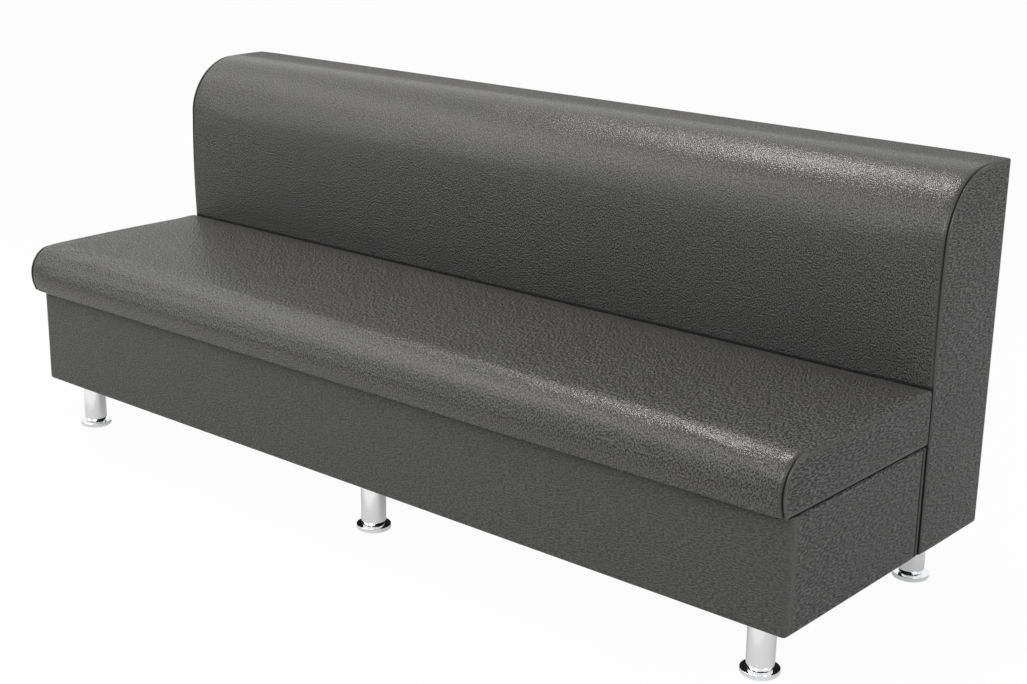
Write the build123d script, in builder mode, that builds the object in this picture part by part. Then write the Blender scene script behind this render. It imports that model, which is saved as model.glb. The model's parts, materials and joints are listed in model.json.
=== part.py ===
from build123d import *
import os

# Upholstered cafe bench: a long seat cushion on a covered box, a tall padded back behind it,
# and six chrome legs whose feet screw in and out.
# Millimetres. X runs along the bench, the sitter faces -Y, and Z is up from the floor.
# The origin lies on the floor, under the middle of the bench.

os.makedirs("parts", exist_ok=True)

# Whole bench
overall_length = 2000.0
overall_depth = 712.0
overall_height = 810.0
floor_gap = 110.0  # floor to the underside of the box and the back
half_length = overall_length / 2
overrun = 5.0  # how far a cut runs past what it cuts
face_clearance = 0.3  # between soft faces that lie on each other

# Artificial leather and dust cloth
skin = 1.2
skin_total = skin + face_clearance  # from the outside of a cover to what it wraps
cloth = 0.6
cloth_margin = 15.0  # edge of the cover to the edge of the dust cloth
cloth_hole_clearance = 2.0  # round each leg plate

# Back, outside
back_depth = 228.0
roll_radius = 135.0  # the large roll at the top of the front
back_rear_radius = 8.0
back_crown = 2.0  # how much higher the top is in the middle than at the ends
back_end_bow = 3.0  # how far the front stands out between seat and roll, at the end seams
back_bow = 6.0  # the same, in the middle
back_return = 30.0  # cover turned under the bottom
back_rear_turn = 30.0  # cover turned down behind the top

# Back, inside
back_foam_thickness = 40.0
end_padding_thickness = 10.0
lower_board = 18.0
lower_board_height = 218.0
front_board = 12.0
roll_board = 4.0
rear_board = 4.0
bottom_board = 25.0
rib = 18.0
rib_hole_radius = 45.0
rib_hole_sides = 8  # sawn with straight cuts
rib_hole_shares = (0.26, 0.51, 0.76)  # of the rib's height
inner_rib_share = 0.48  # place of the ribs left and right of the middle, of half the length
top_rail_height = 30.0
top_rail_depth = 50.0

# Seat cushion, outside
seat_base = 325.0  # floor to the underside of the cushion
seat_edge_height = 428.0  # floor to the top of the cushion at its end seams
seat_edge_bow = 1.5  # rise of the top between nose and back, at the end seams
seat_crown = 6.0  # further rise in the middle of the bench
nose_radius = 62.0
nose_crown = 3.0  # how much further the nose stands out in the middle
lip_tuck = 8.0  # how far the bottom of the nose is drawn back
lip_radius = 6.0
seat_rear_radius = 10.0
seat_front_return = 45.0
seat_rear_return = 25.0
crown_rise = 150.0  # length at each end over which a crown comes up
crown_shares = ((0.0, 0.0), (0.08, 0.45), (0.27, 0.8), (1.0, 1.0))  # of that length, of the crown

# Seat cushion, inside
seat_board = 15.0
seat_foam_edge = 10.0  # foam in front of the seat board and past its ends

# Box, outside
nose_overhang = 35.0  # nose of the cushion past the front of the box
shadow_groove = 3.0  # between the cushion and the top of the box cover
box_front_radius = 10.0  # upright edges
box_bottom_radius = 8.0
box_return = 35.0

# Box, inside
box_padding = 6.0
box_board = 18.0
leg_board = 25.0
leg_board_depth = 140.0
cleat = 30.0
rib_relief = 5.0  # room left in a rib round a leg's nut

# Legs
leg_end_distance = 82.0  # end of the bench to the middle of a leg
front_leg_distance = 64.0  # front of the box to the middle of a leg
rear_leg_distance = 87.0  # rear of the back to the middle of a leg
tube_radius = 25.0
tube_wall = 2.0
tube_top_wall = 5.0
tube_bottom_wall = 14.0
tube_chamfer_height = 6.5
tube_chamfer = 2.5
washer_thickness = 3.0
leg_stud_length = 32.0
leg_nut_width = 28.0
leg_nut_thickness = 1.5
leg_nut_barrel_radius = 7.0
leg_nut_barrel_length = 12.0

# Feet
foot_radius = 35.0
foot_height = 11.0  # floor to the top of the disc
foot_floor_gap = 1.0  # floor to the underside of the disc
foot_top_bevel = 1.0
foot_bottom_bevel = 3.5
neck_radius = 18.0
neck_height = 1.5  # dark gap between disc and tube
foot_stud_length = 45.0
stud_radius = 5.0
thread_clearance = 0.08
glide_radius = 29.0
glide_thickness = 3.0
glide_clearance = 0.3
pivot_radius = 6.0
pivot_height = 3.0

# Screws and bolts
screw_shank_radius = 2.0
screw_head_radius = 4.0
screw_head_height = 2.2
screw_length = 40.0
screw_clearance = 0.15
screw_place_shares = (-0.72, -0.24, 0.24, 0.72)  # of half the length, as the bolts
bolt_radius = 4.0
bolt_clearance = 0.3
bolt_head_radius = 7.5
bolt_head_height = 5.3
bolt_past_nut = 4.0
nut_width = 20.0
nut_thickness = 1.5
nut_barrel_radius = 5.4
nut_barrel_length = 9.0
bolt_height = 220.0

# Round pieces are drawn with flats, because there are so many of them. Only the pivots
# that the feet turn on are true cylinders.
round_sides = 32  # legs and feet
hidden_sides = 24  # washers, glides with the recess above them, and the tubes' cavities
thread_sides = 12  # studs and what they screw into
fastener_sides = 8  # screws, bolts and their holes
hex_sides = 6  # bolt heads

# Places that follow from the sizes above
y_nose = -overall_depth / 2
y_rear = overall_depth / 2
y_back = y_rear - back_depth
y_box_front = y_nose + nose_overhang
y_box_rear = y_back - face_clearance
y_seat_rear = y_back - face_clearance
roll_y = y_back + roll_radius
roll_z = overall_height - roll_radius
frame_z = floor_gap + skin_total

back_inside = half_length - skin_total - end_padding_thickness
former_front = y_back + skin_total + back_foam_thickness
former_radius = roll_radius - skin_total - back_foam_thickness
former_top = roll_z + former_radius
former_rear = y_rear - skin_total - rear_board
lower_front = y_back + skin_total
lower_top = frame_z + lower_board_height
inner_rib = half_length * inner_rib_share

box_top = seat_base - shadow_groove
box_inset = skin_total + box_padding
frame_half = half_length - box_inset
frame_front = y_box_front + box_inset
frame_rear = y_box_rear - skin_total
rails_inside_front = frame_front + box_board
rails_inside_rear = frame_rear - box_board
ends_inside = frame_half - box_board

leg_top = frame_z - washer_thickness
leg_bottom = foot_height + neck_height
leg_board_top = frame_z + leg_board
bottom_board_top = frame_z + bottom_board
front_leg_y = y_box_front + front_leg_distance
rear_leg_y = y_rear - rear_leg_distance
leg_x = half_length - leg_end_distance
leg_places = {
    "front_left": (-leg_x, front_leg_y),
    "front_middle": (0, front_leg_y),
    "front_right": (leg_x, front_leg_y),
    "rear_left": (-leg_x, rear_leg_y),
    "rear_middle": (0, rear_leg_y),
    "rear_right": (leg_x, rear_leg_y),
}
front_places = [place for name, place in leg_places.items() if name.startswith("front")]
rear_places = [place for name, place in leg_places.items() if name.startswith("rear")]
bolt_places = [half_length * share for share in screw_place_shares]
seat_screw_rows = (rails_inside_front + cleat / 2, rails_inside_rear - cleat / 2)
seat_screw_places = [(x, y) for y in seat_screw_rows for x in bolt_places]
stud_hole = stud_radius + thread_clearance
bolt_hole = bolt_radius + bolt_clearance
screw_top = seat_base - cleat + screw_length


def save(piece, name):
    """Labels a finished piece and writes it under its own name."""
    piece.label = name
    export_step(piece, f"parts/{name}.step")


def rectangle(low, high):
    """A rectangle in the current sketch, from its lowest to its highest corner."""
    with Locations(((low[0] + high[0]) / 2, (low[1] + high[1]) / 2)):
        Rectangle(high[0] - low[0], high[1] - low[1])


def board(low, high):
    """A square-edged board between two opposite corners, as a finished solid."""
    with BuildPart() as plank:
        with BuildSketch(Plane.XY.offset(low[2])):
            rectangle(low, high)
        extrude(amount=high[2] - low[2])
    return plank.part


def seat_section(station, inset, crown_share):
    """The cushion's outline across the bench, drawn in by inset, with a share of its crown."""
    front = y_nose + nose_crown * (1 - crown_share)
    rear = y_seat_rear
    rise = seat_edge_bow + seat_crown * crown_share
    nose_y = front + nose_radius
    nose_z = seat_edge_height - nose_radius
    shoulder = rear - seat_rear_radius
    lip_y = front + lip_tuck + lip_radius
    middle = (nose_y + shoulder) / 2
    with BuildSketch(Plane.YZ.offset(station)) as section:
        with BuildLine():
            Line((lip_y, seat_base + inset), (rear - inset, seat_base + inset))
            Line((rear - inset, seat_base + inset), (rear - inset, seat_edge_height - seat_rear_radius))
            CenterArc((shoulder, seat_edge_height - seat_rear_radius), seat_rear_radius - inset, 0, 90)
            ThreePointArc(
                (shoulder, seat_edge_height - inset),
                (middle, seat_edge_height + rise - inset),
                (nose_y, seat_edge_height - inset),
            )
            CenterArc((nose_y, nose_z), nose_radius - inset, 90, 90)
            TangentArc(
                (front + inset, nose_z),
                (front + lip_tuck + inset, seat_base + lip_radius),
                tangent=(0, -1),
            )
            CenterArc((lip_y, seat_base + lip_radius), lip_radius - inset, 180, 90)
        make_face()
    return section.sketch


def back_section(station, inset, crown_share):
    """The back's outline across the bench, drawn in by inset, with a share of its crown."""
    front = y_back + inset
    rear = y_rear - inset
    base = floor_gap + inset
    top = overall_height - back_crown * (1 - crown_share)
    bow = back_end_bow + (back_bow - back_end_bow) * crown_share
    centre_z = top - roll_radius
    rear_z = top - back_rear_radius
    middle = (centre_z + seat_edge_height) / 2
    with BuildSketch(Plane.YZ.offset(station)) as section:
        with BuildLine():
            Line((front, base), (rear, base))
            Line((rear, base), (rear, rear_z))
            CenterArc((y_rear - back_rear_radius, rear_z), back_rear_radius - inset, 0, 90)
            Line((y_rear - back_rear_radius, top - inset), (roll_y, top - inset))
            CenterArc((roll_y, centre_z), roll_radius - inset, 90, 90)
            ThreePointArc((front, centre_z), (front - bow, middle), (front, seat_edge_height))
            Line((front, seat_edge_height), (front, base))
        make_face()
    return section.sketch


def crowned(section, inset, end, past_end=0):
    """Sections from one end to the other, with the crown coming up over the last stretch."""
    rising = [(end - crown_rise * place, share) for place, share in crown_shares]
    if past_end:
        rising.insert(0, (end + past_end, 0))
    left = [section(-station, inset, share) for station, share in rising]
    right = [section(station, inset, share) for station, share in reversed(rising)]
    return left + right


def crowned_solid(section, inset, end, past_end=0):
    """The closed solid through the crowned sections."""
    with BuildPart() as solid:
        loft(sections=crowned(section, inset, end, past_end), ruled=True)
    return solid.part


def end_panel(section, side):
    """A sewn-in end panel, set in the mouth of the cover."""
    with BuildPart() as panel:
        extrude(to_extrude=section(side * (half_length - skin), skin_total, 0), amount=side * skin)
    return panel.part


def box_block(inset, low, high):
    """The box's outer form drawn in by inset: rounded in front, at the ends and below."""
    with BuildPart() as block:
        with BuildSketch(Plane.XY.offset(low)):
            rectangle(
                (inset - half_length, y_box_front + inset), (half_length - inset, y_box_rear - inset)
            )
        extrude(amount=high - low)
        upright = block.edges().filter_by(Axis.Z).group_by(Axis.Y)[0]
        fillet(upright, radius=box_front_radius - inset)
        rim = block.edges().filter_by_position(Axis.Z, low, low).sort_by(Axis.Y)[:-1]
        fillet(rim, radius=box_bottom_radius - inset)
    return block.part


def bar(places, radius, low, high, sides):
    """Upright bars between two heights, one at each place."""
    with BuildPart() as bars:
        with BuildSketch(Plane.XY.offset(low)):
            with Locations(*places):
                RegularPolygon(radius, sides)
        extrude(amount=high - low)
    return bars.part


def hole(places, radius, low, high, sides):
    """The bars that cut upright holes, which are nowhere narrower than the radius."""
    with BuildPart() as bars:
        with BuildSketch(Plane.XY.offset(low)):
            with Locations(*places):
                RegularPolygon(radius, sides, major_radius=False)
        extrude(amount=high - low)
    return bars.part


def cross_bar(radius, front, rear, sides, major_radius=True):
    """Level bars along Y between two depths, one at each bolt."""
    with BuildPart() as bars:
        with BuildSketch(Plane.XZ.offset(-front)):
            with Locations(*[(x, bolt_height) for x in bolt_places]):
                RegularPolygon(radius, sides, major_radius=major_radius)
        extrude(amount=front - rear)
    return bars.part


def screw_holes(low, high):
    """The bars that cut the seat screws' holes between two heights."""
    return hole(seat_screw_places, screw_shank_radius + screw_clearance, low, high, fastener_sides)


def leg_nut_holes(places, board_top):
    """The bars that cut a leg stud's hole through a board, and the seat of its nut from above."""
    barrel_low = board_top - leg_nut_barrel_length - screw_clearance
    with BuildPart() as bars:
        add(hole(places, stud_radius + face_clearance, floor_gap, board_top + overrun, thread_sides))
        barrel_hole = leg_nut_barrel_radius + screw_clearance
        add(hole(places, barrel_hole, barrel_low, board_top + overrun, thread_sides))
    return bars.part


def nut_relief(y, board_top):
    """The corners of the notch that keeps a rib clear of a leg's nut and stud."""
    reach = leg_nut_width / 2 + rib_relief
    return (y - reach, board_top), (y + reach, leg_top + leg_stud_length + rib_relief)


# Box frame: rails, ends, ribs, leg board and cleats
with BuildPart() as box_front_rail:
    add(board((-frame_half, frame_front, frame_z), (frame_half, rails_inside_front, seat_base)))
save(box_front_rail.part, "box_front_rail")

with BuildPart() as box_rear_rail:
    add(board((-frame_half, rails_inside_rear, frame_z), (frame_half, frame_rear, seat_base)))
    holes = cross_bar(bolt_hole, rails_inside_rear - overrun, frame_rear + overrun, fastener_sides, False)
    add(holes, mode=Mode.SUBTRACT)
save(box_rear_rail.part, "box_rear_rail")

for side, name in ((-1, "box_left_end"), (1, "box_right_end")):
    with BuildPart() as box_end:
        low_x, high_x = sorted((side * ends_inside, side * frame_half))
        add(board((low_x, rails_inside_front, frame_z), (high_x, rails_inside_rear, seat_base)))
    save(box_end.part, name)

with BuildPart() as box_leg_board:
    low = (-ends_inside, rails_inside_front, frame_z)
    high = (ends_inside, rails_inside_front + leg_board_depth, leg_board_top)
    add(board(low, high))
    add(leg_nut_holes(front_places, leg_board_top), mode=Mode.SUBTRACT)
save(box_leg_board.part, "box_leg_board")

for share, name in ((-1, "box_left_rib"), (0, "box_middle_rib"), (1, "box_right_rib")):
    with BuildPart() as box_rib:
        with BuildSketch(Plane.YZ.offset(inner_rib * share - box_board / 2)):
            rectangle((rails_inside_front, frame_z), (rails_inside_rear, seat_base))
            leg_board_rear = rails_inside_front + leg_board_depth
            with BuildSketch(mode=Mode.SUBTRACT):
                rectangle((rails_inside_front, frame_z), (leg_board_rear, leg_board_top))
                rectangle(*nut_relief(front_leg_y, leg_board_top))
                rectangle((rails_inside_front, seat_base - cleat), (rails_inside_front + cleat, seat_base))
                rectangle((rails_inside_rear - cleat, seat_base - cleat), (rails_inside_rear, seat_base))
        extrude(amount=box_board)
    save(box_rib.part, name)

cleat_rows = (("box_front_cleat", rails_inside_front), ("box_rear_cleat", rails_inside_rear - cleat))
for name, row in cleat_rows:
    with BuildPart() as box_cleat:
        add(board((-ends_inside, row, seat_base - cleat), (ends_inside, row + cleat, seat_base)))
        add(screw_holes(seat_base - cleat - overrun, seat_base + overrun), mode=Mode.SUBTRACT)
    save(box_cleat.part, name)

# Box padding, in three sheets that butt behind the front corners, cover and dust cloth
with BuildPart() as box_padding_sheets:
    add(box_block(skin_total, frame_z, box_top))
    low = (-frame_half, frame_front, frame_z - overrun)
    high = (frame_half, y_box_rear + overrun, box_top + overrun)
    add(board(low, high), mode=Mode.SUBTRACT)
    low = (-half_length, frame_front, frame_z - overrun)
    high = (half_length, frame_front + face_clearance, box_top + overrun)
    add(board(low, high), mode=Mode.SUBTRACT)
save(box_padding_sheets.part, "box_padding")

with BuildPart() as box_cover:
    add(box_block(0, floor_gap, box_top))
    add(box_block(skin, floor_gap + skin, box_top + overrun), mode=Mode.SUBTRACT)
    under = box_return
    low = (under - half_length, y_box_front + under, floor_gap - overrun)
    high = (half_length - under, y_box_rear - under, floor_gap + overrun)
    add(board(low, high), mode=Mode.SUBTRACT)
    holes = cross_bar(bolt_hole, y_box_rear - overrun, y_box_rear + overrun, fastener_sides, False)
    add(holes, mode=Mode.SUBTRACT)
save(box_cover.part, "box_cover")

dust_hole = tube_radius + cloth_hole_clearance
with BuildPart() as box_dust_cover:
    low = (cloth_margin - half_length, y_box_front + cloth_margin, floor_gap - cloth)
    high = (half_length - cloth_margin, y_box_rear - cloth_margin, floor_gap)
    add(board(low, high))
    holes = hole(front_places, dust_hole, floor_gap - overrun, floor_gap + overrun, thread_sides)
    add(holes, mode=Mode.SUBTRACT)
save(box_dust_cover.part, "box_dust_cover")

# Seat: board, foam, cover, end panels and screws
board_z = seat_base + skin_total
board_front = y_nose + nose_crown + lip_tuck + skin_total + seat_foam_edge
board_half = half_length - skin_total - seat_foam_edge
board_rear = y_seat_rear - skin_total
with BuildPart() as seat_board_panel:
    add(board((-board_half, board_front, board_z), (board_half, board_rear, board_z + seat_board)))
    add(screw_holes(board_z - overrun, screw_top + screw_clearance), mode=Mode.SUBTRACT)
save(seat_board_panel.part, "seat_board")

with BuildPart() as seat_foam:
    add(crowned_solid(seat_section, skin_total, half_length - skin_total))
    low = (-board_half, board_front, board_z - overrun)
    high = (board_half, board_rear + overrun, board_z + seat_board)
    add(board(low, high), mode=Mode.SUBTRACT)
save(seat_foam.part, "seat_foam")

with BuildPart() as seat_cover:
    add(crowned_solid(seat_section, 0, half_length))
    add(crowned_solid(seat_section, skin, half_length, overrun), mode=Mode.SUBTRACT)
    low = (-half_length - overrun, y_nose + lip_tuck + seat_front_return, seat_base - overrun)
    high = (half_length + overrun, y_seat_rear - seat_rear_return, seat_base + overrun)
    add(board(low, high), mode=Mode.SUBTRACT)
save(seat_cover.part, "seat_cover")

for side, name in ((-1, "seat_left_end_panel"), (1, "seat_right_end_panel")):
    with BuildPart() as seat_end:
        add(end_panel(seat_section, side))
    save(seat_end.part, name)

with BuildPart() as seat_screws:
    head_low = seat_base - cleat - screw_head_height
    add(bar(seat_screw_places, screw_head_radius, head_low, seat_base - cleat, fastener_sides))
    add(bar(seat_screw_places, screw_shank_radius, seat_base - cleat, screw_top, fastener_sides))
save(seat_screws.part, "seat_screws")

# Back frame: boards, rails and ribs
with BuildPart() as back_bottom_board:
    low = (-back_inside, lower_front + lower_board, frame_z)
    high = (back_inside, former_rear, bottom_board_top)
    add(board(low, high))
    add(leg_nut_holes(rear_places, bottom_board_top), mode=Mode.SUBTRACT)
save(back_bottom_board.part, "back_bottom_board")

lower_rear = lower_front + lower_board
with BuildPart() as back_lower_board:
    add(board((-back_inside, lower_front, frame_z), (back_inside, lower_rear, lower_top)))
    holes = cross_bar(bolt_hole, lower_front - overrun, lower_rear + overrun, fastener_sides, False)
    add(holes, mode=Mode.SUBTRACT)
    barrel_start = lower_rear - nut_barrel_length - screw_clearance
    barrel_hole = nut_barrel_radius + screw_clearance
    holes = cross_bar(barrel_hole, barrel_start, lower_rear + overrun, fastener_sides, False)
    add(holes, mode=Mode.SUBTRACT)
save(back_lower_board.part, "back_lower_board")

with BuildPart() as back_front_board:
    low = (-back_inside, former_front, lower_top)
    high = (back_inside, former_front + front_board, roll_z)
    add(board(low, high))
save(back_front_board.part, "back_front_board")

inner_radius = former_radius - roll_board
with BuildPart() as back_roll_board:
    with BuildSketch(Plane.YZ.offset(-back_inside)):
        with BuildLine():
            CenterArc((roll_y, roll_z), former_radius, 90, 90)
            Line((former_front, roll_z), (former_front + roll_board, roll_z))
            CenterArc((roll_y, roll_z), inner_radius, 90, 90)
            Line((roll_y, former_top - roll_board), (former_rear, former_top - roll_board))
            Line((former_rear, former_top - roll_board), (former_rear, former_top))
            Line((former_rear, former_top), (roll_y, former_top))
        make_face()
    extrude(amount=back_inside * 2)
save(back_roll_board.part, "back_roll_board")

rib_top = former_top - roll_board
rail_front = former_rear - top_rail_depth
rail_low = rib_top - top_rail_height
with BuildPart() as back_top_rail:
    add(board((-back_inside, rail_front, rail_low), (back_inside, former_rear, rib_top)))
save(back_top_rail.part, "back_top_rail")

with BuildPart() as back_rear_board:
    low = (-back_inside, former_rear, frame_z)
    high = (back_inside, former_rear + rear_board, former_top)
    add(board(low, high))
save(back_rear_board.part, "back_rear_board")

rib_low = bottom_board_top
rib_front = former_front + front_board
end_rib = back_inside - rib / 2
rib_places = {
    "back_left_end_rib": -end_rib,
    "back_left_rib": -inner_rib,
    "back_middle_rib": 0,
    "back_right_rib": inner_rib,
    "back_right_end_rib": end_rib,
}
for name, place in rib_places.items():
    with BuildPart() as back_rib:
        with BuildSketch(Plane.YZ.offset(place - rib / 2)):
            with BuildLine():
                Polyline(
                    (former_front + roll_board, roll_z),
                    (rib_front, roll_z),
                    (rib_front, lower_top),
                    (lower_rear, lower_top),
                    (lower_rear, rib_low),
                    (former_rear, rib_low),
                    (former_rear, rail_low),
                    (rail_front, rail_low),
                    (rail_front, rib_top),
                    (roll_y, rib_top),
                )
                CenterArc((roll_y, roll_z), inner_radius, 90, 90)
            make_face()
            hole_y = (rib_front + former_rear) / 2
            with Locations(*[(hole_y, rib_low + (rib_top - rib_low) * share) for share in rib_hole_shares]):
                RegularPolygon(rib_hole_radius, rib_hole_sides, mode=Mode.SUBTRACT)
            with BuildSketch(mode=Mode.SUBTRACT):
                rectangle(*nut_relief(rear_leg_y, bottom_board_top))
        extrude(amount=rib)
    save(back_rib.part, name)

# Back padding, covers and dust cloth
with BuildPart() as back_foam:
    add(crowned_solid(back_section, skin_total, back_inside))
    with BuildSketch(Plane.YZ.offset(-half_length)) as former:
        with BuildLine():
            CenterArc((roll_y, roll_z), former_radius, 90, 90)
            Polyline(
                (roll_y, former_top),
                (y_rear + overrun, former_top),
                (y_rear + overrun, floor_gap),
                (y_back - overrun, floor_gap),
                (y_back - overrun, lower_top),
                (former_front, lower_top),
                (former_front, roll_z),
            )
        make_face()
    extrude(to_extrude=former.sketch, amount=overall_length, mode=Mode.SUBTRACT)
save(back_foam.part, "back_foam")

with BuildPart() as back_end_padding:
    for side in (-1, 1):
        padding = back_section(side * back_inside, skin_total, 0)
        extrude(to_extrude=padding, amount=side * end_padding_thickness)
save(back_end_padding.part, "back_end_padding")

with BuildPart() as back_cover:
    add(crowned_solid(back_section, 0, half_length))
    add(crowned_solid(back_section, skin, half_length, overrun), mode=Mode.SUBTRACT)
    with BuildSketch(Plane.YZ.offset(-half_length - overrun)) as opening:
        rectangle((y_back + back_return, floor_gap - overrun), (y_rear + overrun, floor_gap + overrun))
        rear_turn = (y_rear + overrun, overall_height - back_rear_turn)
        rectangle((y_rear - skin - face_clearance, floor_gap - overrun), rear_turn)
    extrude(to_extrude=opening.sketch, amount=overall_length + overrun * 2, mode=Mode.SUBTRACT)
    holes = cross_bar(bolt_hole, y_back - overrun, y_back + overrun, fastener_sides, False)
    add(holes, mode=Mode.SUBTRACT)
save(back_cover.part, "back_cover")

for side, name in ((-1, "back_left_end_panel"), (1, "back_right_end_panel")):
    with BuildPart() as back_end:
        add(end_panel(back_section, side))
    save(back_end.part, name)

with BuildPart() as back_rear_cover:
    with BuildSketch(Plane.YZ.offset(-half_length)):
        rear_cover_top = overall_height - back_rear_turn - face_clearance
        rectangle((y_rear - skin, floor_gap), (y_rear, rear_cover_top))
        rectangle((y_rear - back_return, floor_gap), (y_rear, floor_gap + skin))
    extrude(amount=overall_length)
save(back_rear_cover.part, "back_rear_cover")

with BuildPart() as back_dust_cover:
    low = (cloth_margin - half_length, y_back + cloth_margin, floor_gap - cloth)
    high = (half_length - cloth_margin, y_rear - cloth_margin, floor_gap)
    add(board(low, high))
    holes = hole(rear_places, dust_hole, floor_gap - overrun, floor_gap + overrun, thread_sides)
    add(holes, mode=Mode.SUBTRACT)
save(back_dust_cover.part, "back_dust_cover")

# Bolts and plate nuts that join the box to the back
bolt_start = rails_inside_rear
bolt_end = lower_rear + nut_thickness + bolt_past_nut
with BuildPart() as joining_bolts:
    add(cross_bar(bolt_head_radius, bolt_start - bolt_head_height, bolt_start, hex_sides))
    add(cross_bar(bolt_radius, bolt_start, bolt_end, fastener_sides))
save(joining_bolts.part, "joining_bolts")

with BuildPart() as joining_nuts:
    with BuildSketch(Plane.XZ.offset(-lower_rear)):
        with Locations(*[(x, bolt_height) for x in bolt_places]):
            Rectangle(nut_width, nut_width)
    extrude(amount=-nut_thickness)
    add(cross_bar(nut_barrel_radius, lower_rear - nut_barrel_length, lower_rear, fastener_sides))
    thread = bolt_radius + thread_clearance
    holes = cross_bar(thread, lower_front, bolt_end + overrun, fastener_sides, False)
    add(holes, mode=Mode.SUBTRACT)
save(joining_nuts.part, "joining_nuts")

# Washers on the legs, and the plate nuts that their studs screw into
with BuildPart() as leg_washers:
    add(bar(leg_places.values(), tube_radius, leg_top, frame_z, hidden_sides))
    holes = hole(leg_places.values(), stud_radius + face_clearance, leg_bottom, leg_board_top, thread_sides)
    add(holes, mode=Mode.SUBTRACT)
save(leg_washers.part, "leg_washers")

with BuildPart() as leg_nuts:
    for places, board_top in ((front_places, leg_board_top), (rear_places, bottom_board_top)):
        with BuildSketch(Plane.XY.offset(board_top)):
            with Locations(*places):
                Rectangle(leg_nut_width, leg_nut_width)
        extrude(amount=leg_nut_thickness)
        barrel_low = board_top - leg_nut_barrel_length
        add(bar(places, leg_nut_barrel_radius, barrel_low, board_top, thread_sides))
        thread = hole(places, stud_hole, floor_gap, board_top + overrun, thread_sides)
        add(thread, mode=Mode.SUBTRACT)
save(leg_nuts.part, "leg_nuts")

# Legs and feet
chamfer_top = leg_bottom + tube_chamfer_height
recess_radius = glide_radius + glide_clearance
pivot_hole_radius = pivot_radius + glide_clearance
pivot_top = glide_thickness + pivot_height
for name, place in leg_places.items():
    spot = [place]

    with BuildPart() as leg_tube:
        with BuildSketch(Plane.XY.offset(leg_bottom)):
            with Locations(place):
                RegularPolygon(tube_radius - tube_chamfer, round_sides)
        with BuildSketch(Plane.XY.offset(chamfer_top)):
            with Locations(place):
                RegularPolygon(tube_radius, round_sides)
        loft(ruled=True)
        add(bar(spot, tube_radius, chamfer_top, leg_top, round_sides))
        cavity_low = leg_bottom + tube_bottom_wall
        cavity = bar(spot, tube_radius - tube_wall, cavity_low, leg_top - tube_top_wall, hidden_sides)
        add(cavity, mode=Mode.SUBTRACT)
        thread = hole(spot, stud_hole, leg_bottom - overrun, leg_top - tube_top_wall, thread_sides)
        add(thread, mode=Mode.SUBTRACT)
        add(bar(spot, stud_radius, leg_top, leg_top + leg_stud_length, thread_sides))
    save(leg_tube.part, f"leg_tube_{name}")

    with BuildPart() as foot_disc:
        add(bar(spot, foot_radius, foot_floor_gap, foot_height, round_sides))
        chamfer(foot_disc.edges().group_by(Axis.Z)[0], length=foot_bottom_bevel)
        chamfer(foot_disc.edges().group_by(Axis.Z)[-1], length=foot_top_bevel)
        add(bar(spot, neck_radius, foot_height, leg_bottom, round_sides))
        add(bar(spot, stud_radius, leg_bottom, leg_bottom + foot_stud_length, thread_sides))
        add(hole(spot, recess_radius, 0, glide_thickness, hidden_sides), mode=Mode.SUBTRACT)
        pivot_hole = hole(spot, pivot_hole_radius, 0, pivot_top + glide_clearance, thread_sides)
        add(pivot_hole, mode=Mode.SUBTRACT)
    save(foot_disc.part, f"foot_disc_{name}")

    with BuildPart() as foot_glide:
        add(bar(spot, glide_radius, 0, glide_thickness, hidden_sides))
        with Locations((*place, glide_thickness)):
            Cylinder(pivot_radius, pivot_height, align=(Align.CENTER, Align.CENTER, Align.MIN))
    save(foot_glide.part, f"foot_glide_{name}")
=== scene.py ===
import json
import math

import bmesh
import bpy
import numpy as np
from mathutils import Matrix, Vector, noise


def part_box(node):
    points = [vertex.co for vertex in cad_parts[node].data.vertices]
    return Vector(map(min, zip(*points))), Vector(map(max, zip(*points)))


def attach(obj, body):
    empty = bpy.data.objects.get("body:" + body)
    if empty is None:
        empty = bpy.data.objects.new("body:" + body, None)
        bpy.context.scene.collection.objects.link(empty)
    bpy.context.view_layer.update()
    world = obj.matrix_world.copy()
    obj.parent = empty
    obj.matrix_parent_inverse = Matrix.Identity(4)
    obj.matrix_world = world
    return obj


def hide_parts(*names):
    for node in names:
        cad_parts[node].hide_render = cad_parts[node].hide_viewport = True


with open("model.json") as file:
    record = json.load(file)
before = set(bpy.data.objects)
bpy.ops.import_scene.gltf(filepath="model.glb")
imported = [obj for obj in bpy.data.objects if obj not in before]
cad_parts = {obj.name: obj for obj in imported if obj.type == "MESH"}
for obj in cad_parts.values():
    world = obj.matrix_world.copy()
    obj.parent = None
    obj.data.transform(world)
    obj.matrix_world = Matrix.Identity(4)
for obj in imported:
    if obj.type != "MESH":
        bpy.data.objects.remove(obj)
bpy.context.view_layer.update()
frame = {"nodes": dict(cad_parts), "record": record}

# All sizes are in metres unless a comment says otherwise. Places come from the CAD nodes' boxes.
MM = 0.001

# Camera, from the photograph's straight edges. Place in metres, turns in degrees, lens in mm.
CAMERA_PLACE = (2.2924, -2.5326, 1.3714)
CAMERA_YAW = 40.3145
CAMERA_PITCH = 16.8613
CAMERA_ROLL = 0.9182
CAMERA_LENS = 60.41
CAMERA_SENSOR = 36.0

# Seat cushion
SEAT_NOSE_RADIUS = 62 * MM
SEAT_EDGE_HEIGHT = 428 * MM
SEAT_EDGE_BOW = 1.5 * MM
SEAT_CROWN = 6 * MM
SEAT_NOSE_CROWN = 3 * MM
SEAT_LIP_TUCK = 8 * MM
SEAT_LIP_RADIUS = 6 * MM
SEAT_REAR_RADIUS = 10 * MM
SEAT_REAR_FOOT = 5 * MM

# A crown comes up over this length from each end, steeply at first
CROWN_RISE = 150 * MM
CROWN_POWER = 5

# Back
BACK_ROLL_RADIUS = 135 * MM
BACK_REAR_RADIUS = 4 * MM
BACK_CROWN = 2 * MM
BACK_END_BOW = 3 * MM
BACK_BOW = 6 * MM
BACK_FOOT_RADIUS = 6 * MM
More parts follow.
